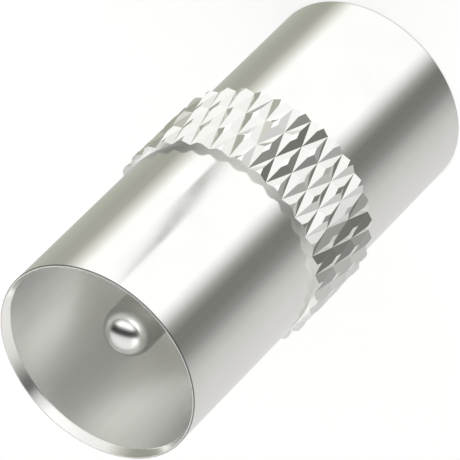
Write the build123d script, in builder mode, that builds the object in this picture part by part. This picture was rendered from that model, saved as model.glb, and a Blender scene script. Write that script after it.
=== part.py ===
"""Coaxial plug-to-plug adapter for television aerial leads.

One turned metal body has a plain sleeve at each end and a diamond knurled grip ring between them.
An insulating bead in the body's web carries the centre pin, whose domed ends stand inside the
sleeves. The axis is Z. The origin is the centre of the lower rim, on which the adapter stands.
"""

from build123d import *
from math import cos, degrees, hypot, radians, sin
import os

os.makedirs("parts", exist_ok=True)

# Body: two equal sleeves with a ring between them
sleeve_radius = 5.0
sleeve_wall = 0.2
lower_sleeve_length = 8.2
upper_sleeve_length = 9.74
lip_chamfer = 0.04
lead_in_length = 0.5
lead_in_depth = 0.12

# Knurl: four rows of diamonds, of which the first and the last are cut in half by the ring's ends
diamonds_round = 32
diamond_half_length = 1.52
rows_of_crossings = 4
valley_height = 0.14
diamond_height = 0.19
crest_share = 0.26

# Web between the bores, the bead pressed into it and the pin moulded into the bead
web_overhang = 0.2
bead_radius = 3.0
bead_chamfer = 0.25
pin_radius = 1.2
pin_collar_radius = 1.6
pin_recess = 1.6
pin_tip_radius = 1.1

# Places that follow from the sizes above
valley_radius = sleeve_radius + valley_height
crest_radius = valley_radius + diamond_height
ring_length = (rows_of_crossings - 1) * diamond_half_length
ring_bottom = lower_sleeve_length
ring_top = ring_bottom + ring_length
body_length = ring_top + upper_sleeve_length
bore_radius = sleeve_radius - sleeve_wall
web_bottom = ring_bottom - web_overhang
web_top = ring_top + web_overhang
pin_length = body_length - 2 * pin_recess
lead_in_radius = (lead_in_length**2 + lead_in_depth**2) / (2 * lead_in_depth)

# One diamond: the block where two tapered ribs cross, one for each hand of the knurl.
# Its half diagonals shrink in step with the distance from the axis, so its four sides are flat.
# The sides pass through the crossings of the valleys at both ends and on both flanks.
half_pitch = radians(180 / diamonds_round)
base_distance = sleeve_radius * cos(half_pitch) - sleeve_wall / 2
crest_half_length = crest_share * diamond_half_length
run_per_rise = (diamond_half_length - crest_half_length) / (crest_radius - valley_radius)
length_at_flank = diamond_half_length + run_per_rise * valley_radius * (1 - cos(half_pitch))
width_to_length = valley_radius * sin(half_pitch) / length_at_flank
base_half_length = crest_half_length + run_per_rise * (crest_radius - base_distance)
rib_width_share = width_to_length / hypot(1, width_to_length)

with BuildPart() as diamond:
    for hand, mode in ((1, Mode.ADD), (-1, Mode.INTERSECT)):
        across_rib = Plane(
            origin=(base_distance, 0, 0),
            x_dir=(0, -1, -hand * width_to_length),
            z_dir=(0, -hand * width_to_length, 1),
        )
        with BuildSketch(across_rib):
            with BuildLine():
                Polyline(
                    (-rib_width_share * base_half_length, 0),
                    (-rib_width_share * crest_half_length, crest_radius - base_distance),
                    (rib_width_share * crest_half_length, crest_radius - base_distance),
                    (rib_width_share * base_half_length, 0),
                    close=True,
                )
            make_face()
        extrude(amount=2 * base_half_length, both=True, mode=mode)

# Knurled ring: rows of diamonds round a core, each row turned half a pitch from the last
with BuildPart() as knurl:
    with Locations((0, 0, ring_bottom)):
        Cylinder(
            sleeve_radius,
            ring_length,
            align=(Align.CENTER, Align.CENTER, Align.MIN),
        )
    for row in range(rows_of_crossings):
        with Locations((0, 0, ring_bottom + row * diamond_half_length)):
            with PolarLocations(
                0,
                diamonds_round,
                start_angle=degrees(half_pitch) * ((row + 1) % 2),
            ):
                add(diamond.part)
    with Locations((0, 0, ring_bottom)):
        Cylinder(
            2 * sleeve_radius,
            ring_length,
            align=(Align.CENTER, Align.CENTER, Align.MIN),
            mode=Mode.INTERSECT,
        )

# Lead-in: the rounded inner edge that each mouth loses, as one ring to cut away at each end
with BuildPart() as lead_in:
    with BuildSketch(Plane.XZ):
        with BuildLine():
            Line((bore_radius, 0), (bore_radius + lead_in_depth, 0))
            RadiusArc(
                (bore_radius + lead_in_depth, 0),
                (bore_radius, lead_in_length),
                lead_in_radius,
            )
            Line((bore_radius, lead_in_length), (bore_radius, 0))
        make_face()
    revolve(axis=Axis.Z)
    mirror(about=Plane.XY.offset(body_length / 2))

# Shell: both sleeves and the knurled ring in one piece, bored from each end to the web
with BuildPart() as shell:
    Cylinder(
        sleeve_radius,
        body_length,
        align=(Align.CENTER, Align.CENTER, Align.MIN),
    )
    add(knurl.part)
    with BuildSketch(Plane.XY):
        Circle(bore_radius)
    extrude(amount=web_bottom, mode=Mode.SUBTRACT)
    with BuildSketch(Plane.XY.offset(web_top)):
        Circle(bore_radius)
    extrude(amount=body_length - web_top, mode=Mode.SUBTRACT)
    with BuildSketch(Plane.XY.offset(web_bottom)):
        Circle(bead_radius)
    extrude(amount=web_top - web_bottom, mode=Mode.SUBTRACT)
    for rim in (shell.edges().group_by(Axis.Z)[0], shell.edges().group_by(Axis.Z)[-1]):
        chamfer(rim.sort_by(SortBy.RADIUS)[-1], length=lip_chamfer)
    add(lead_in.part, mode=Mode.SUBTRACT)
shell.part.label = "shell"

# Insulator: a bead that fills the web's hole, with the hole of the pin's collar through it
with BuildPart() as insulator:
    with BuildSketch(Plane.XY.offset(web_bottom)):
        Circle(bead_radius)
        Circle(pin_collar_radius, mode=Mode.SUBTRACT)
    extrude(amount=web_top - web_bottom)
    chamfer(
        insulator.edges().filter_by(GeomType.CIRCLE).sort_by(SortBy.RADIUS)[-2:],
        length=bead_chamfer,
    )
insulator.part.label = "insulator"

# Centre pin: one rod with a thicker collar inside the bead, and both ends rounded over
with BuildPart() as centre_pin:
    with BuildSketch(Plane.XY.offset(pin_recess)):
        Circle(pin_radius)
    extrude(amount=pin_length)
    for tip in (centre_pin.edges().sort_by(Axis.Z)[0], centre_pin.edges().sort_by(Axis.Z)[-1]):
        fillet(tip, radius=pin_tip_radius)
    with BuildSketch(Plane.XY.offset(web_bottom)):
        Circle(pin_collar_radius)
    extrude(amount=web_top - web_bottom)
centre_pin.part.label = "centre_pin"

export_step(shell.part, "parts/shell.step")
export_step(insulator.part, "parts/insulator.step")
export_step(centre_pin.part, "parts/centre_pin.step")

print("length", round(body_length, 3), "ring", round(ring_bottom, 3), "to", round(ring_top, 3))
print("bore", round(2 * bore_radius, 3), "knurl over crests", round(2 * crest_radius, 3))
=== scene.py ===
# %% [markdown]
# # A coaxial adapter in polished nickel
# A television aerial adapter is one turned brass body, plated with nickel, with a knurled grip
# ring in the middle and a round pin inside each open end. This lesson rebuilds its surfaces
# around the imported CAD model. The model gives every place and size, and Blender adds the finish.

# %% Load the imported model
import math

import bmesh
import bpy
import numpy as np
from mathutils import Matrix, Vector


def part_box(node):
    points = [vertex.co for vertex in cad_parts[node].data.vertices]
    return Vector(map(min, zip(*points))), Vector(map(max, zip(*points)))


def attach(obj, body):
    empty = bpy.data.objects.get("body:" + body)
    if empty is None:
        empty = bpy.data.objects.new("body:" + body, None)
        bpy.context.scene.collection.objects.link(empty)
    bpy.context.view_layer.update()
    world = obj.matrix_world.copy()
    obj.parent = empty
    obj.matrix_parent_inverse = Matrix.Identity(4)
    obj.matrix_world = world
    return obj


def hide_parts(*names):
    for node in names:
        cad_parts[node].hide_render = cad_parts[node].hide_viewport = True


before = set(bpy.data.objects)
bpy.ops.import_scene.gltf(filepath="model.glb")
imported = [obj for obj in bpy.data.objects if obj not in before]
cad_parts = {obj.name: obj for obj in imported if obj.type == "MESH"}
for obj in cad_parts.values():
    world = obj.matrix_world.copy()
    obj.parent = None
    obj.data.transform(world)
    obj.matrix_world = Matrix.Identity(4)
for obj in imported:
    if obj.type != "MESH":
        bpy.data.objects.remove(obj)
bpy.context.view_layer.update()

print("CAD nodes:", sorted(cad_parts))

# %% [markdown]
# ## Sizes
# The overall sizes are read from the CAD nodes, so the surfaces can't drift away from the model.
# The rest are the real part's small sizes, in millimetres: the lip at each mouth, the knurl and
# the ends of the pin. A knurl is pressed by a tool with a fixed pitch, so the number of diamonds
# and their length say everything about its pattern.

# %% Read the sizes of the adapter
MM = 0.001

shell_low, shell_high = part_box("shell")
bead_low, bead_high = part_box("insulator")
pin_low, pin_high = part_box("centre_pin")

body_length = (shell_high[2] - shell_low[2]) / MM
crest_radius = shell_high[0] / MM
web_bottom = bead_low[2] / MM
web_top = bead_high[2] / MM
bead_radius = bead_high[0] / MM
pin_collar_radius = pin_high[0] / MM
pin_bottom = pin_low[2] / MM
pin_top = pin_high[2] / MM

sleeve_radius = 5.0
sleeve_wall = 0.2
bore_radius = sleeve_radius - sleeve_wall
web_overhang = 0.2
ring_bottom = web_bottom + web_overhang
ring_top = web_top - web_overhang

print(f"body {body_length:.2f} mm long, knurled ring from {ring_bottom:.2f} to {ring_top:.2f} mm")
print(f"sleeve {2 * sleeve_radius:.1f} mm across, bore {2 * bore_radius:.1f} mm")

# %% [markdown]
# ## Two helpers for meshes
# Everything turned on a lathe is a profile carried round an axis. The profile is a list of
# (radius, height) points, and numpy turns all of them at once by multiplying each radius by the
# sine and cosine of every angle. A profile that ends on the axis has a pole there, and merging
# the doubled points closes it.

# %% Turn a profile round the axis
ROUND_STEPS = 320


def finish_mesh(name, points, faces, sharp_above=30):
    """Makes an object of points in millimetres, merges doubled points and turns faces outwards.

    Edges that bend by more than sharp_above degrees stay sharp, and all the others are smooth.
    """
    mesh = bpy.data.meshes.new(name)
    mesh.from_pydata((points * MM).tolist(), [], [f for group in faces for f in group.tolist()])
    work = bmesh.new()
    work.from_mesh(mesh)
    bmesh.ops.remove_doubles(work, verts=work.verts, dist=1e-4 * MM)
    bmesh.ops.dissolve_degenerate(work, edges=work.edges, dist=1e-5 * MM)
    bmesh.ops.recalc_face_normals(work, faces=work.faces)
    open_edges = sum(1 for edge in work.edges if len(edge.link_faces) != 2)
    work.to_mesh(mesh)
    work.free()
    mesh.shade_smooth()
    mesh.set_sharp_from_angle(angle=math.radians(sharp_above))
    piece = bpy.data.objects.new(name, mesh)
    bpy.context.scene.collection.objects.link(piece)
    print(f"{name}: {len(mesh.polygons)} faces, {open_edges} open edges")
    return piece


def turned(name, profile, closed, sharp_above=30):
    """Carries a profile of (radius, height) rows round Z: x = r cos a, y = r sin a, z = height.

    A closed profile joins its last point to its first. An open one starts and ends on the axis.
    """
    angle = np.linspace(0, 2 * np.pi, ROUND_STEPS, endpoint=False)
    radius, height = profile[:, 0], profile[:, 1]
    x = np.outer(radius, np.cos(angle))
    y = np.outer(radius, np.sin(angle))
    z = np.repeat(height[:, None], ROUND_STEPS, axis=1)
    points = np.stack([x, y, z], axis=2).reshape(-1, 3)
    row = np.arange(len(profile) if closed else len(profile) - 1)[:, None]
    column = np.arange(ROUND_STEPS)[None, :]
    next_row = (row + 1) % len(profile)
    next_column = (column + 1) % ROUND_STEPS
    corners = [
        row * ROUND_STEPS + column,
        row * ROUND_STEPS + next_column,
        next_row * ROUND_STEPS + next_column,
        next_row * ROUND_STEPS + column,
    ]
    faces = np.stack(corners, axis=2).reshape(-1, 4)
    return finish_mesh(name, points, [faces], sharp_above)


# %% Draw arcs and straight runs for profiles
def arc(centre, radii, start, stop, steps):
    """Points of an ellipse's arc: centre + (radii[0] cos t, radii[1] sin t), t from start to stop."""
    t = np.radians(np.linspace(start, stop, steps))
    return np.stack([centre[0] + radii[0] * np.cos(t), centre[1] + radii[1] * np.sin(t)], axis=1)


def run(start, stop, steps):
    """Points evenly spaced on the straight line from start to stop."""
    share = np.linspace(0, 1, steps)[:, None]
    return np.array(start) * (1 - share) + np.array(stop) * share


# %% [markdown]
# ## The turned body
# Both sleeves, the web between the bores and the two thin lips are cut in one setting on the
# lathe. The eye reads a metal edge by the light it catches, so a corner that looks sharp is
# really a small arc. Each lip has three parts, from outside to inside: the arc, a flat ring left
# by the facing tool, and a lead-in. The lead-in is a slender cone that helps the mating socket
# find its way, and it shows as a bright band on the far side of the mouth.

# %% Draw the lip of a mouth
lip_round = 0.045
lip_face = 0.04
lead_in_length = 0.5
lead_in_depth = sleeve_wall - lip_round - lip_face


def mouth(end, inward):
    """The lip from outside to inside: a small arc, the flat ring and the lead-in's cone.

    end is the height of the rim, and inward is +1 where the bore runs up from it, otherwise -1.
    """
    outer_arc = arc(
        (sleeve_radius - lip_round, end + inward * lip_round),
        (lip_round, -inward * lip_round),
        0,
        90,
        6,
    )
    lead_in = run(
        (bore_radius + lead_in_depth, end),
        (bore_radius, end + inward * lead_in_length),
        8,
    )
    return np.concatenate([outer_arc, lead_in])


print(f"lead-in {lead_in_depth:.3f} mm deep and {lead_in_length:.1f} mm long")

# %% Turn the body
web_corner_round = 0.15
row_gap = 0.1


def web_corner(height, inward):
    """The round left by the boring tool between the bore's wall and the web's face."""
    return arc(
        (bore_radius - web_corner_round, height - inward * web_corner_round),
        (web_corner_round, inward * web_corner_round),
        0,
        90,
        8,
    )


# The rows of points on the straight walls keep a small gap to the corners on either side
below_mouth = lead_in_length + row_gap
off_web = web_corner_round + row_gap
body_profile = np.concatenate([
    run((sleeve_radius, 2 * lip_round), (sleeve_radius, body_length - 2 * lip_round), 24),
    mouth(body_length, -1),
    run((bore_radius, body_length - below_mouth), (bore_radius, web_top + off_web), 12),
    web_corner(web_top, -1),
    run((bore_radius - off_web, web_top), (bead_radius, web_top), 3),
    run((bead_radius, web_top - row_gap), (bead_radius, web_bottom + row_gap), 4),
    run((bead_radius, web_bottom), (bore_radius - off_web, web_bottom), 3),
    web_corner(web_bottom, 1)[::-1],
    run((bore_radius, web_bottom - off_web), (bore_radius, below_mouth), 12),
    mouth(0, 1)[::-1],
])
body = turned("turned_body", body_profile, closed=True)
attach(body, "root")
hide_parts("shell")

# %% [markdown]
# ## The diamond knurl
# Two wheels with slanted teeth press crossing valleys into the ring. What is left between four
# valleys is a pyramid with a small flat rhombus on top. Its four sides are flat, so each one
# mirrors a single patch of the room, and that gives a knurl its glitter. The corners of all the
# pyramids are worked out in one go. The rows are turned half a pitch from each other, and the
# rows at both ends of the ring are cut in half.

# %% Work out one diamond
diamonds_round = 32
diamond_half_length = (ring_top - ring_bottom) / 3
valley_radius = 5.14
crest_share = 0.26

half_pitch = math.pi / diamonds_round
crest_half_length = crest_share * diamond_half_length
run_per_rise = (diamond_half_length - crest_half_length) / (crest_radius - valley_radius)
length_at_flank = diamond_half_length + run_per_rise * valley_radius * (1 - math.cos(half_pitch))
width_to_length = valley_radius * math.sin(half_pitch) / length_at_flank
crest_half_width = width_to_length * crest_half_length

# Corners of a diamond as (distance from the axis, sideways, along): valleys first, then the crest
tip = (valley_radius, 0, diamond_half_length)
flank = (valley_radius * math.cos(half_pitch), valley_radius * math.sin(half_pitch), 0)
diamond_corners = np.array([
    tip,
    flank,
    (tip[0], 0, -tip[2]),
    (flank[0], -flank[1], 0),
    (crest_radius, 0, crest_half_length),
    (crest_radius, crest_half_width, 0),
    (crest_radius, 0, -crest_half_length),
    (crest_radius, -crest_half_width, 0),
])
diamond_sides = np.array([[0, 4, 5, 1], [1, 5, 6, 2], [2, 6, 7, 3], [3, 7, 4, 0]])
diamond_crest = np.array([[4, 7, 6, 5]])
print(f"diamond {2 * diamond_half_length:.2f} x {2 * flank[1]:.2f} mm, "
      f"{crest_radius - valley_radius:.2f} mm high")


# %% Repeat the diamond round the ring
def diamonds_at(rows):
    """All diamonds of the given rows, turned about Z by their angle and lifted to their row.

    x = d cos a - s sin a, y = d sin a + s cos a, z = row height + along, for every corner at once.
    Row 0 is the lower end of the ring, and even rows are turned by half a pitch.
    """
    row = np.repeat(np.array(rows), diamonds_round)
    step = np.tile(np.arange(diamonds_round), len(rows))
    angle = (2 * step + (row + 1) % 2) * half_pitch
    distance, sideways, along = diamond_corners.T
    cosine, sine = np.cos(angle)[:, None], np.sin(angle)[:, None]
    x = distance * cosine - sideways * sine
    y = distance * sine + sideways * cosine
    z = (ring_bottom + row * diamond_half_length)[:, None] + along
    return np.stack([x, y, z], axis=2)


def faces_of(count, pattern, first):
    """The same faces for each of count diamonds, whose corners start at first and come in eights."""
    start = first + len(diamond_corners) * np.arange(count)[:, None, None]
    return (start + pattern[None]).reshape(-1, pattern.shape[1])


whole = diamonds_at([1, 2])
lower_half = diamonds_at([0])
upper_half = diamonds_at([3])
first_lower = whole.shape[0] * whole.shape[1]
first_upper = first_lower + lower_half.shape[0] * lower_half.shape[1]
knurl_faces = [
    faces_of(len(whole), diamond_sides, 0),
    faces_of(len(whole), diamond_crest, 0),
    faces_of(len(lower_half), diamond_sides[[0, 3]], first_lower),
    faces_of(len(lower_half), np.array([[4, 7, 5]]), first_lower),
    faces_of(len(upper_half), diamond_sides[[1, 2]], first_upper),
    faces_of(len(upper_half), np.array([[6, 5, 7]]), first_upper),
]
print("whole diamonds", len(whole), "and half ones", len(lower_half) + len(upper_half))

# %% [markdown]
# The ring's ends are flat, and their edge follows the half diamonds: up one flank, along the
# crest and down the other flank. Inside the body, where nobody looks, a plain tube closes the
# ring, so that it is a solid piece for anyone who prints or measures it.

# %% Close the ring and make it a piece
hidden_radius = sleeve_radius - sleeve_wall / 2
points_per_diamond = 4
outline_count = diamonds_round * points_per_diamond


def end_rim(half_diamonds, height, turn):
    """The zigzag edge of one end, then as many points on the hidden circle inside it."""
    outline = half_diamonds[:, [3, 7, 5, 1]].reshape(-1, 3)
    step = 2 * half_pitch / points_per_diamond
    angle = turn + (np.arange(outline_count) - (points_per_diamond - 1) / 2) * step
    level = np.full(outline_count, height)
    circle = np.stack([hidden_radius * np.cos(angle), hidden_radius * np.sin(angle), level], axis=1)
    return np.concatenate([outline, circle])


def band(first, second):
    """Quads between two closed rows of points, given by their numbers."""
    return np.stack([first, np.roll(first, -1), np.roll(second, -1), second], axis=1)


number = np.arange(outline_count)
lower_start = first_upper + upper_half.shape[0] * upper_half.shape[1]
upper_start = lower_start + 2 * outline_count
lower_outline, lower_circle = lower_start + number, lower_start + outline_count + number
upper_outline, upper_circle = upper_start + number, upper_start + outline_count + number
knurl_faces += [
    band(lower_outline, lower_circle),
    band(upper_outline, upper_circle),
    band(lower_circle, np.roll(upper_circle, -points_per_diamond // 2)),
]
knurl_points = np.concatenate([
    whole.reshape(-1, 3),
    lower_half.reshape(-1, 3),
    upper_half.reshape(-1, 3),
    end_rim(lower_half, ring_bottom, half_pitch),
    end_rim(upper_half, ring_top, 0),
])
knurl = finish_mesh("knurled_ring", knurl_points, knurl_faces, sharp_above=5)
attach(knurl, "root")
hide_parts("shell")

# %% [markdown]
# ## The bead and the pin
# The bead is moulded in a pale plastic and fills the hole in the web, with a shallow groove round
# the pin in each face. The pin is a rod with a thicker collar inside the bead. Its ends are
# rounded almost to a half ball, because a socket's springs have to slide over them. A ball shows
# the whole room at once, small and bent, so the pin's end is where a viewer first sees that the
# metal is polished.

# %% Turn the bead
bead_chamfer = 0.25
bead_dish = 0.1
dish_shoulder = 0.35
dish_inner = pin_collar_radius + dish_shoulder
dish_outer = bead_radius - bead_chamfer - dish_shoulder

bead_profile = np.array([
    (pin_collar_radius, web_top),
    (dish_inner, web_top),
    (dish_inner + bead_dish, web_top - bead_dish),
    (dish_outer - bead_dish, web_top - bead_dish),
    (dish_outer, web_top),
    (bead_radius - bead_chamfer, web_top),
    (bead_radius, web_top - bead_chamfer),
    (bead_radius, web_bottom + bead_chamfer),
    (bead_radius - bead_chamfer, web_bottom),
    (dish_outer, web_bottom),
    (dish_outer - bead_dish, web_bottom + bead_dish),
    (dish_inner + bead_dish, web_bottom + bead_dish),
    (dish_inner, web_bottom),
    (pin_collar_radius, web_bottom),
])
bead = turned("bead", bead_profile, closed=True)
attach(bead, "root")
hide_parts("insulator")

# %% Turn the pin
pin_radius = 1.2
pin_end_length = 1.1
pin_flat = 0.05

upper_end = arc(
    (pin_flat, pin_top - pin_end_length),
    (pin_radius - pin_flat, pin_end_length),
    0,
    90,
    40,
)
lower_end = arc(
    (pin_flat, pin_bottom + pin_end_length),
    (pin_radius - pin_flat, -pin_end_length),
    90,
    0,
    40,
)
pin_profile = np.concatenate([
    [(0, pin_bottom)],
    lower_end,
    run((pin_radius, pin_bottom + pin_end_length + row_gap), (pin_radius, web_bottom), 8),
    run((pin_collar_radius, web_bottom), (pin_collar_radius, web_top), 4),
    run((pin_radius, web_top), (pin_radius, pin_top - pin_end_length - row_gap), 10),
    upper_end,
    [(0, pin_top)],
])
pin = turned("pin", pin_profile, closed=False)
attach(pin, "root")
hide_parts("centre_pin")

# %% [markdown]
# ## Helpers for materials
# Blender's colour sockets want linear light, while colours are given in sRGB, so one
# function turns a hex colour to linear. A second one adds a node, sets it and links it.

# %% Colours and nodes
def linear(hex_colour):
    """An sRGB hex colour as linear red, green, blue and alpha."""
    srgb = np.array([int(hex_colour[i:i + 2], 16) for i in (1, 3, 5)]) / 255
    colour = np.where(srgb <= 0.04045, srgb / 12.92, ((srgb + 0.055) / 1.055) ** 2.4)
    return (*colour.tolist(), 1.0)


def add_node(tree, kind, inputs=None, **settings):
    """Adds a node, sets its settings, and gives each named input a value or a link."""
    node = tree.nodes.new(kind)
    for name, value in settings.items():
        setattr(node, name, value)
    for socket, value in (inputs or {}).items():
        if isinstance(value, bpy.types.NodeSocket):
            tree.links.new(value, node.inputs[socket])
        else:
            node.inputs[socket].default_value = value
    return node


def new_material(name):
    """An empty node material with its output node."""
    material = bpy.data.materials.new(name)
    material.use_nodes = True
    material.node_tree.nodes.clear()
    output = add_node(material.node_tree, "ShaderNodeOutputMaterial")
    return material, material.node_tree, output


# %% [markdown]
# ## Bright nickel plating
# Nickel is a slightly warm white metal. The plating follows every mark of the turned brass, and
# polishing leaves broad, faint clouds in the gloss, a few millimetres across. The turning marks
# are rings round the axis, so their noise is stretched across the axis and stays fine along it.
# They are 0.12 mm apart, coarser than real ones, because finer ones vanish between two pixels.
# The colour is that of the metal's reflection, so it is light, and the roughness is low but not
# zero. The index of refraction stays at its default, as for every metal here.

# %% Nickel plating, polished
cloud_size = 2.5 * MM
turning_spacing = 0.12 * MM
stretch_across = 0.02


def polished_nickel(name, colour, tarnish, gloss, dull):
    """Nickel whose roughness wanders between gloss and dull over the polishing clouds."""
    material, tree, output = new_material(name)
    place = add_node(tree, "ShaderNodeTexCoord").outputs["Object"]
    clouds = add_node(tree, "ShaderNodeTexNoise", {
        "Vector": place, "Scale": 1 / cloud_size, "Detail": 3.0, "Roughness": 0.5,
    })
    roughness = add_node(tree, "ShaderNodeMapRange", {
        "Value": clouds.outputs["Fac"], "From Min": 0.3, "From Max": 0.7,
        "To Min": gloss, "To Max": dull,
    })
    tint = add_node(tree, "ShaderNodeMix", {
        "Factor": clouds.outputs["Fac"], "A": linear(colour), "B": linear(tarnish),
    }, data_type="RGBA")
    along = add_node(tree, "ShaderNodeMapping", {
        "Vector": place, "Scale": (stretch_across, stretch_across, 1.0),
    })
    turning = add_node(tree, "ShaderNodeTexNoise", {
        "Vector": along.outputs["Vector"], "Scale": 1 / turning_spacing, "Detail": 2.0,
    })
    bump = add_node(tree, "ShaderNodeBump", {
        "Height": turning.outputs["Fac"], "Strength": 0.03, "Distance": 0.01 * MM,
    })
    surface = add_node(tree, "ShaderNodeBsdfPrincipled", {
        "Base Color": tint.outputs["Result"], "Metallic": 1.0,
        "Roughness": roughness.outputs["Result"], "Normal": bump.outputs["Normal"],
    })
    tree.links.new(surface.outputs["BSDF"], output.inputs["Surface"])
    print(f"{name}: {colour}, roughness {gloss} to {dull}")
    return material


# %% [markdown]
# The bath is the same for all surfaces, but plating never hides how the metal under it was made.
# The sleeves were polished and mirror the room. The knurl was pressed by hard wheels, so its
# small faces are the smoothest and brightest. The ring's ends were faced and left dull, which
# makes them look even from every side. The lips get a dark grey, dull nickel: this is painted
# shade, and it draws the fine grey line round each mouth. The lead-in is almost as bright as the
# sleeve. The pin was plated loose in a barrel, which gives it a satin skin.

# %% One nickel for each way of working
plating = polished_nickel("polished_nickel_plating", "#F2F2F0", "#ECECE8", 0.10, 0.16)
knurl_plating = polished_nickel("knurled_nickel_plating", "#FBFBFA", "#F0F0ED", 0.06, 0.14)
faced_plating = polished_nickel("faced_nickel_plating", "#E2E2E0", "#D8D8D5", 0.46, 0.54)
# The lips' dark grey is painted shade that draws the fine grey line round each mouth
painted_shade_edge_plating = polished_nickel("edge_nickel_painted_shade", "#70706E", "#666663", 0.34, 0.42)
lead_in_plating = polished_nickel("lead_in_nickel_plating", "#ECECEA", "#E6E6E3", 0.12, 0.18)
pin_plating = polished_nickel("pin_nickel_plating", "#E2E2DF", "#D8D8D5", 0.20, 0.26)

# %% [markdown]
# The lead-in's cone leans only 13 degrees off the bore, and such a steep mirror would show the
# opposite wall of the mouth. A real lead-in rolls over towards the rim and shows the bright room
# above it. The cone keeps its shape here, and its shading normals are bent instead: half a unit
# along the axis, towards the nearer end, is added to each normal, and the sum is made one unit
# long again. The turning marks go on top of that.

# %% Bend the lead-in's normals towards the opening
normal_bend = 0.50

tree = lead_in_plating.node_tree
place = add_node(tree, "ShaderNodeTexCoord").outputs["Object"]
heights = add_node(tree, "ShaderNodeSeparateXYZ", {"Vector": place})
above_middle = add_node(tree, "ShaderNodeMath", {
    0: heights.outputs["Z"], 1: body_length / 2 * MM,
}, operation="SUBTRACT")
towards_end = add_node(tree, "ShaderNodeMath", {0: above_middle.outputs["Value"]}, operation="SIGN")
bend = add_node(tree, "ShaderNodeMath", {
    0: towards_end.outputs["Value"], 1: normal_bend,
}, operation="MULTIPLY")
bend_vector = add_node(tree, "ShaderNodeCombineXYZ", {"Z": bend.outputs["Value"]})
flat_normal = add_node(tree, "ShaderNodeNewGeometry").outputs["Normal"]
leaning_normal = add_node(tree, "ShaderNodeVectorMath", {
    0: flat_normal, 1: bend_vector.outputs["Vector"],
}, operation="ADD")
bent_normal = add_node(tree, "ShaderNodeVectorMath", {
    0: leaning_normal.outputs["Vector"],
}, operation="NORMALIZE")
tree.links.new(bent_normal.outputs["Vector"], tree.nodes["Bump"].inputs["Normal"])
print("lead-in normals bent by", normal_bend)

# %% [markdown]
# No polishing wheel reaches into the bores, so their walls stay as the boring bar left them. They
# scatter light much more than the sleeves do, with soft streaks along the bore that are drawn
# half a millimetre wide so that they show. The metallic value stays below one, for the thin grey
# film that such a surface keeps.

# %% Nickel plating, as bored
streak_width = 0.5 * MM
streak_stretch = 0.06
bored_roughness = 0.30
bored_metal = 0.80

bore_plating, tree, output = new_material("bored_nickel_plating")
place = add_node(tree, "ShaderNodeTexCoord").outputs["Object"]
along = add_node(tree, "ShaderNodeMapping", {"Vector": place, "Scale": (1.0, 1.0, streak_stretch)})
streaks = add_node(tree, "ShaderNodeTexNoise", {
    "Vector": along.outputs["Vector"], "Scale": 1 / streak_width, "Detail": 1.0,
})
tint = add_node(tree, "ShaderNodeMix", {
    "Factor": streaks.outputs["Fac"], "A": linear("#F9FAF8"), "B": linear("#F4F4F1"),
}, data_type="RGBA")
surface = add_node(tree, "ShaderNodeBsdfPrincipled", {
    "Base Color": tint.outputs["Result"], "Metallic": bored_metal, "Roughness": bored_roughness,
})
tree.links.new(surface.outputs["BSDF"], output.inputs["Surface"])
print(f"bored_nickel_plating: metallic {bored_metal}, roughness {bored_roughness}")

# %% [markdown]
# ## Moulded polypropylene
# The bead is natural polypropylene, a milky plastic that lets a little light in. Its moulded
# skin has faint flow marks a millimetre or so wide. The eye sees a soft, warm white.

# %% Moulded polypropylene
flow_size = 1.2 * MM
plastic_roughness = 0.45

bead_plastic, tree, output = new_material("moulded_polypropylene")
place = add_node(tree, "ShaderNodeTexCoord").outputs["Object"]
flow = add_node(tree, "ShaderNodeTexNoise", {
    "Vector": place, "Scale": 1 / flow_size, "Detail": 3.0,
})
tint = add_node(tree, "ShaderNodeMix", {
    "Factor": flow.outputs["Fac"], "A": linear("#EFEDE4"), "B": linear("#E2DFD2"),
}, data_type="RGBA")
skin = add_node(tree, "ShaderNodeBump", {
    "Height": flow.outputs["Fac"], "Strength": 0.1, "Distance": 0.01 * MM,
})
surface = add_node(tree, "ShaderNodeBsdfPrincipled", {
    "Base Color": tint.outputs["Result"], "Roughness": plastic_roughness, "IOR": 1.49,
    "Subsurface Weight": 0.2, "Subsurface Scale": 0.5 * MM, "Normal": skin.outputs["Normal"],
})
tree.links.new(surface.outputs["BSDF"], output.inputs["Surface"])
print("moulded_polypropylene: roughness", plastic_roughness)

# %% [markdown]
# ## A finish for each face
# One mesh can hold several materials, and each face names one of them by its number. The faces
# are told apart by where their middles lie: how far from the axis and how far from the nearer
# mouth. This way the body stays one closed piece, as it is on the lathe.

# %% Measure where the faces lie
def face_middles(piece):
    """Each face's middle as (distance from the axis, height), in millimetres."""
    middles = np.empty(len(piece.data.polygons) * 3)
    piece.data.polygons.foreach_get("center", middles)
    middles = middles.reshape(-1, 3) / MM
    return np.hypot(middles[:, 0], middles[:, 1]), middles[:, 2]


# %% Give each piece its finish
same_place = 0.001

for finish in (plating, bore_plating, painted_shade_edge_plating, lead_in_plating):
    body.data.materials.append(finish)
for finish in (knurl_plating, faced_plating):
    knurl.data.materials.append(finish)
bead.data.materials.append(bead_plastic)
pin.data.materials.append(pin_plating)

from_axis, height = face_middles(body)
from_mouth = np.minimum(height, body_length - height)
in_bore = (from_axis < bore_radius) & (from_mouth > lead_in_length)
on_lip = (from_axis > bore_radius + lead_in_depth) & (from_mouth < lip_round)
on_lead_in = (from_axis < bore_radius + lead_in_depth) & (from_mouth < lead_in_length)
numbers = np.select([in_bore, on_lip, on_lead_in], [1, 2, 3])
body.data.polygons.foreach_set("material_index", numbers.astype(np.int32))
print("body faces in the bores", int(in_bore.sum()), "on the lips", int(on_lip.sum()))
print("body faces on the lead-ins", int(on_lead_in.sum()))

from_axis, height = face_middles(knurl)
at_bottom = np.abs(height - ring_bottom) < same_place
at_top = np.abs(height - ring_top) < same_place
on_end = at_bottom | at_top
knurl.data.polygons.foreach_set("material_index", on_end.astype(np.int32))
print("knurl faces on the ring's ends", int(on_end.sum()))

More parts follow.
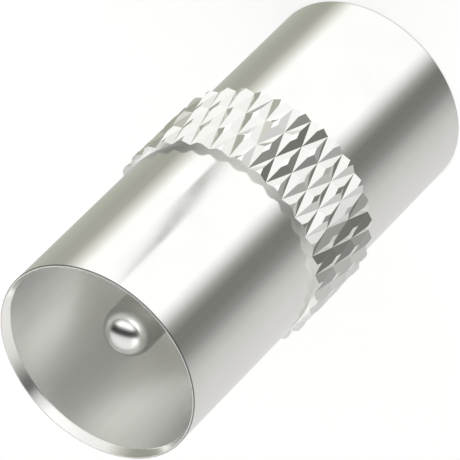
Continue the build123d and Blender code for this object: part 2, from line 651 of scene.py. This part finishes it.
# %% [markdown]
# ## The studio
# Polished metal has hardly any colour of its own: it shows the room. The room is a light tent,
# white towards the camera, with a grey flag on one side and a pale olive wall on the other. It is
# painted on the world's sky by the direction from the adapter, measured from the camera, so the
# metal shows bands that run along its length. The camera itself sees plain white.

# %% Camera angle
camera_azimuth = math.radians(-88.26)
camera_elevation = math.radians(41.43)
towards_camera = Vector((
    math.cos(camera_elevation) * math.cos(camera_azimuth),
    math.cos(camera_elevation) * math.sin(camera_azimuth),
    math.sin(camera_elevation),
))
print("direction of the camera", [round(value, 3) for value in towards_camera])


# %% Directions in the light tent
def set_bands(ramp, bands):
    """Gives a colour ramp one stop for each (position, hex colour)."""
    stops = ramp.color_ramp.elements
    while len(stops) < len(bands):
        stops.new(1.0)
    for stop, (position, colour) in zip(stops, bands):
        stop.position = position
        stop.color = linear(colour)


world = bpy.data.worlds.new("light_tent")
bpy.context.scene.world = world
world.use_nodes = True
tree = world.node_tree
tree.nodes.clear()
direction = add_node(tree, "ShaderNodeTexCoord").outputs["Generated"]
turned_room = add_node(tree, "ShaderNodeMapping", {
    "Vector": direction, "Rotation": (0.0, 0.0, -camera_azimuth),
})
axes = add_node(tree, "ShaderNodeSeparateXYZ", {"Vector": turned_room.outputs["Vector"]})
azimuth = add_node(tree, "ShaderNodeMath", {
    0: axes.outputs["Y"], 1: axes.outputs["X"],
}, operation="ARCTAN2")
print(f"tent turned by {-math.degrees(camera_azimuth):.1f} degrees, so that its X is the camera's side")

# %% [markdown]
# ## The walls of the tent
# An upright mirror seen from 41 degrees above shows only what lies 41 degrees below the horizon,
# so the bands are drawn for that height. The lead-in and the pin's dome look further up, and the
# bands have moved on there, because the walls lean: they slide round the adapter in step with
# the height above that line. The flag leans by 22 degrees of turn for each unit of height, and
# the olive wall by 14 degrees the other way.

# %% Walls that lean
mirrored_height = -math.sin(camera_elevation)
flag_edge = math.radians(-30)
olive_edge = math.radians(60)
flag_lean = math.radians(22)
olive_lean = math.radians(-14)

lean = add_node(tree, "ShaderNodeMapRange", {
    "Value": azimuth.outputs["Value"], "From Min": flag_edge, "From Max": olive_edge,
    "To Min": flag_lean, "To Max": olive_lean,
})
rise = add_node(tree, "ShaderNodeMath", {
    0: axes.outputs["Z"], 1: mirrored_height,
}, operation="SUBTRACT")
shift = add_node(tree, "ShaderNodeMath", {
    0: lean.outputs["Result"], 1: rise.outputs["Value"],
}, operation="MULTIPLY")
leaning = add_node(tree, "ShaderNodeMath", {
    0: azimuth.outputs["Value"], 1: shift.outputs["Value"],
}, operation="SUBTRACT")
share = add_node(tree, "ShaderNodeMapRange", {
    "Value": leaning.outputs["Value"], "From Min": -math.pi, "From Max": math.pi,
    "To Min": 0.0, "To Max": 1.0,
})
walls = add_node(tree, "ShaderNodeValToRGB", {"Fac": share.outputs["Result"]})

# Each stop is the angle from the camera in degrees and the wall's colour there
wall_bands = [
    (-180, "#DBDADB"), (-164, "#D2D1D0"), (-110, "#CECDCC"), (-86, "#C3C3C1"), (-72, "#ADADAB"),
    (-60, "#888886"), (-48, "#767672"), (-36, "#757570"), (-27, "#9A9A96"), (-17, "#DFDEDF"),
    (-9, "#FFFFFF"), (82, "#FFFFFF"), (94, "#D1D0C8"), (106, "#A4A59A"), (122, "#A1A297"),
    (150, "#ACADA3"), (166, "#B2B2AD"), (180, "#D2D0D0"),
]
set_bands(walls, [((angle + 180) / 360, colour) for angle, colour in wall_bands])
print("bands on the walls:", len(wall_bands))

# %% [markdown]
# The walls are brightest at the height that the sleeves mirror, and less light reaches them above
# and below it. A second ramp holds that, from straight down to straight up, and multiplies the
# colour of the walls.

# %% Walls darker by height
heights = add_node(tree, "ShaderNodeMapRange", {
    "Value": axes.outputs["Z"], "From Min": -1.0, "From Max": 1.0, "To Min": 0.0, "To Max": 1.0,
})
falloff = add_node(tree, "ShaderNodeValToRGB", {"Fac": heights.outputs["Result"]})
height_bands = [
    (0.0, "#DADAD8"), (0.08, "#E8E8E6"), (0.15, "#FAFAFA"), (0.17, "#FFFFFF"), (0.19, "#FAFAFA"),
    (0.25, "#F0F0EF"), (0.40, "#E2E2E0"), (0.48, "#F0F0EF"),
]
set_bands(falloff, height_bands)
shaded_walls = add_node(tree, "ShaderNodeMix", {
    "Factor": 1.0, "A": walls.outputs["Color"], "B": falloff.outputs["Color"],
}, data_type="RGBA", blend_type="MULTIPLY")
print("bands by height:", len(height_bands))

# %% [markdown]
# The ceiling is white, with one dark gap right across it. The pin's dome shows the gap as a dark
# stripe between two bright patches. A plane through the adapter cuts the ceiling along the gap,
# and the dot product with the plane's normal says how far a direction is from it.

# %% Ceiling with a dark gap
gap_normal = (0.778, 0.593, -0.208)
ceiling_start = 0.48
ceiling_full = 0.60

across_gap = add_node(tree, "ShaderNodeVectorMath", {
    0: turned_room.outputs["Vector"], 1: gap_normal,
}, operation="DOT_PRODUCT")
off_gap = add_node(tree, "ShaderNodeMath", {0: across_gap.outputs["Value"]}, operation="ABSOLUTE")
ceiling = add_node(tree, "ShaderNodeValToRGB", {"Fac": off_gap.outputs["Value"]})
ceiling_bands = [(0.0, "#1C1C1C"), (0.21, "#242424"), (0.34, "#EAEAEC"), (0.6, "#F6F6F6")]
set_bands(ceiling, ceiling_bands)
ceiling_share = add_node(tree, "ShaderNodeMapRange", {
    "Value": axes.outputs["Z"], "From Min": ceiling_start, "From Max": ceiling_full,
    "To Min": 0.0, "To Max": 1.0,
})
room = add_node(tree, "ShaderNodeMix", {
    "Factor": ceiling_share.outputs["Result"], "A": shaded_walls.outputs["Result"],
    "B": ceiling.outputs["Color"],
}, data_type="RGBA")
print("ceiling from height", ceiling_start, "up")

# %% [markdown]
# ## Lamps in the tent
# Two parts of the tent are brighter than the rest. A half ring of lamps hangs over the camera's
# side and puts the sharp bright spot on the pin's dome. A side panel stands beyond the flag,
# from just below the horizon up, and lights the crescent of the lead-in that lies at the left of
# the picture. Neither shows in the sleeves, because seen from above they mirror only what lies
# well below the horizon.

# %% Half ring of lamps and side panel
tent_strength = 1.2
lamp_ring_strength = 2.2
lamp_ring_height = 0.70
lamp_ring_reach = 0.16
side_panel_strength = 0.55

off_ring = add_node(tree, "ShaderNodeMath", {
    0: axes.outputs["Z"], 1: lamp_ring_height,
}, operation="SUBTRACT")
beside_ring = add_node(tree, "ShaderNodeMath", {
    0: off_ring.outputs["Value"],
}, operation="ABSOLUTE")
ring_glow = add_node(tree, "ShaderNodeMapRange", {
    "Value": beside_ring.outputs["Value"], "From Min": 0.0, "From Max": lamp_ring_reach,
    "To Min": lamp_ring_strength - tent_strength, "To Max": 0.0,
})
in_front = add_node(tree, "ShaderNodeMapRange", {
    "Value": axes.outputs["X"], "From Min": -0.15, "From Max": 0.15, "To Min": 0.0, "To Max": 1.0,
})
with_ring = add_node(tree, "ShaderNodeMath", {
    0: ring_glow.outputs["Result"], 1: in_front.outputs["Result"], 2: tent_strength,
}, operation="MULTIPLY_ADD")
panel_side = add_node(tree, "ShaderNodeMapRange", {
    "Value": axes.outputs["Y"], "From Min": -0.55, "From Max": -0.85,
    "To Min": 0.0, "To Max": side_panel_strength,
})
above_sill = add_node(tree, "ShaderNodeMapRange", {
    "Value": axes.outputs["Z"], "From Min": -0.30, "From Max": 0.0, "To Min": 0.0, "To Max": 1.0,
})
with_panel = add_node(tree, "ShaderNodeMath", {
    0: panel_side.outputs["Result"], 1: above_sill.outputs["Result"],
    2: with_ring.outputs["Value"],
}, operation="MULTIPLY_ADD")
print("tent strength", tent_strength, "lamp ring", lamp_ring_strength)

# %% The tent for the object, plain white for the camera
room_light = add_node(tree, "ShaderNodeBackground", {
    "Color": room.outputs["Result"], "Strength": with_panel.outputs["Value"],
})
backdrop = add_node(tree, "ShaderNodeBackground", {"Color": linear("#FFFFFF"), "Strength": 1.0})
path = add_node(tree, "ShaderNodeLightPath")
sky = add_node(tree, "ShaderNodeMixShader", {
    0: path.outputs["Is Camera Ray"], 1: room_light.outputs["Background"],
    2: backdrop.outputs["Background"],
})
add_node(tree, "ShaderNodeOutputWorld", {"Surface": sky.outputs["Shader"]})
print("light tent nodes:", len(tree.nodes))

# %% [markdown]
# ## Floor
# The floor is pale paper. A little light of its own brings it up to the white of the background,
# and it still keeps the adapter's shadow. Reflections pass straight through it, so the metal
# shows the tent's walls below the horizon and not the paper.

# %% Pale floor
floor_reach = 2.0
floor_glow = 0.66

floor_mesh = bpy.data.meshes.new("floor")
floor_corners = [
    (-floor_reach, -floor_reach, 0),
    (floor_reach, -floor_reach, 0),
    (floor_reach, floor_reach, 0),
    (-floor_reach, floor_reach, 0),
]
floor_mesh.from_pydata(floor_corners, [], [(0, 1, 2, 3)])
floor = bpy.data.objects.new("floor", floor_mesh)
bpy.context.scene.collection.objects.link(floor)

floor_paper, tree, output = new_material("pale_studio_floor")
paper = add_node(tree, "ShaderNodeBsdfDiffuse", {"Color": linear("#A6A6A4")})
lift = add_node(tree, "ShaderNodeEmission", {"Color": linear("#FFFFFF"), "Strength": floor_glow})
lit_paper = add_node(tree, "ShaderNodeAddShader", {
    0: paper.outputs["BSDF"], 1: lift.outputs["Emission"],
})
clear = add_node(tree, "ShaderNodeBsdfTransparent")
path = add_node(tree, "ShaderNodeLightPath")
through = add_node(tree, "ShaderNodeMath", {
    0: path.outputs["Is Glossy Ray"], 1: path.outputs["Is Transmission Ray"],
}, operation="MAXIMUM")
paper_or_tent = add_node(tree, "ShaderNodeMixShader", {
    0: through.outputs["Value"], 1: lit_paper.outputs["Shader"], 2: clear.outputs["BSDF"],
})
tree.links.new(paper_or_tent.outputs["Shader"], output.inputs["Surface"])
floor.data.materials.append(floor_paper)
print("floor reaches", floor_reach, "m each way")

# %% [markdown]
# ## Grey card
# A narrow grey card hangs under the floor, where only reflections can find it. The sleeve mirrors
# it as one soft slanting streak, which tells the eye that the white part is polished metal. Its
# ends are found from the streak's ends: the ray from the camera is mirrored at the sleeve there
# and followed for 80 mm.

# %% Grey card below
card_reach = 80 * MM
card_half_width = 1.8 * MM
near_side = math.radians(40)
near_height = 21.5
far_side = math.radians(62)
far_height = 13.5


def seen_in_sleeve(side, height):
    """The point that the upper sleeve mirrors to the camera at this height, and the ray to it.

    side is the mirrored ray's azimuth from the camera, and the ray meets the sleeve at half of it.
    """
    normal_azimuth = camera_azimuth + side / 2
    ray_azimuth = camera_azimuth + side
    start = Vector((
        sleeve_radius * math.cos(normal_azimuth),
        sleeve_radius * math.sin(normal_azimuth),
        height,
    ))
    ray = Vector((
        math.cos(camera_elevation) * math.cos(ray_azimuth),
        math.cos(camera_elevation) * math.sin(ray_azimuth),
        -math.sin(camera_elevation),
    ))
    return start * MM + ray * card_reach, ray


near_end, near_ray = seen_in_sleeve(near_side, near_height)
far_end, far_ray = seen_in_sleeve(far_side, far_height)
across = (far_end - near_end).cross(near_ray + far_ray).normalized() * card_half_width
card_mesh = bpy.data.meshes.new("grey_card")
card_mesh.from_pydata(
    [near_end - across, near_end + across, far_end + across, far_end - across],
    [],
    [(0, 1, 2, 3)],
)
card = bpy.data.objects.new("grey_card", card_mesh)
card.visible_camera = False
card.visible_shadow = False
bpy.context.scene.collection.objects.link(card)

card_paint, tree, output = new_material("grey_card")
paper = add_node(tree, "ShaderNodeBsdfDiffuse", {"Color": linear("#BCBCBA")})
tree.links.new(paper.outputs["BSDF"], output.inputs["Surface"])
card.data.materials.append(card_paint)
print("grey card from", [round(v / MM) for v in near_end], "to", [round(v / MM) for v in far_end])

# %% [markdown]
# ## Lamps
# A soft lamp overhead gives the adapter its faint shadow and the plastic its light. It stays out
# of reflections, because the tent is what the metal shows. The bores are deep, and the tent
# alone leaves them dark. Light linking lets a lamp light chosen pieces only: the bore lamp stands
# opposite the camera and lights just the turned body. Its light glances off both sides of the
# bore, and the rest of it falls on the far side of the sleeves, out of the camera's sight.

# %% Soft lamps
def soft_lamp(name, place, size, energy):
    """A round area lamp at this place that faces the adapter."""
    lamp_data = bpy.data.lights.new(name, "AREA")
    lamp_data.shape = "DISK"
    lamp_data.size = size
    lamp_data.energy = energy
    lamp = bpy.data.objects.new(name, lamp_data)
    lamp.location = place
    lamp.rotation_euler = Vector(place).to_track_quat("Z", "Y").to_euler()
    bpy.context.scene.collection.objects.link(lamp)
    print(name, "at", [round(value, 2) for value in place], "m,", energy, "W")
    return lamp


overhead_softbox = soft_lamp("overhead_softbox", (-0.10, -0.25, 0.46), 0.5, 0.8)
overhead_softbox.visible_glossy = False

# %% Lamp for the bores
bore_lamp_distance = 1.0
opposite_camera = Vector((-towards_camera.x, -towards_camera.y, towards_camera.z))
bore_lamp = soft_lamp("bore_lamp", opposite_camera * bore_lamp_distance, 0.9, 9.5)

lit_by_bore_lamp = bpy.data.collections.new("lit_by_bore_lamp")
lit_by_bore_lamp.objects.link(body)
bore_lamp.light_linking.receiver_collection = lit_by_bore_lamp

# %% [markdown]
# ## The camera
# The photograph was taken from a quarter of a metre away with a long lens, looking down into the
# upper mouth at 41 degrees, and the camera was rolled so that this mouth lies at the lower left.

# %% Place the camera
camera_roll = math.radians(-134.94)
camera_distance = 247.15 * MM
aim_right = -0.199 * MM
aim_up = -0.214 * MM
lens = 434.2

body_middle = Vector((0, 0, body_length / 2 * MM))
look = towards_camera.to_track_quat("Z", "Y").to_matrix()
turn = look @ Matrix.Rotation(camera_roll, 3, "Z")
camera_data = bpy.data.cameras.new("camera")
camera_data.lens = lens
camera_data.sensor_width = 36
camera_data.clip_start = 0.01
camera = bpy.data.objects.new("camera", camera_data)
bpy.context.scene.collection.objects.link(camera)
spot = body_middle + towards_camera * camera_distance + turn @ Vector((aim_right, aim_up, 0))
camera.matrix_world = Matrix.Translation(spot) @ turn.to_4x4()
bpy.context.scene.camera = camera
bpy.context.scene.view_settings.view_transform = "Standard"
print("camera at", [round(v / MM, 2) for v in spot], "mm")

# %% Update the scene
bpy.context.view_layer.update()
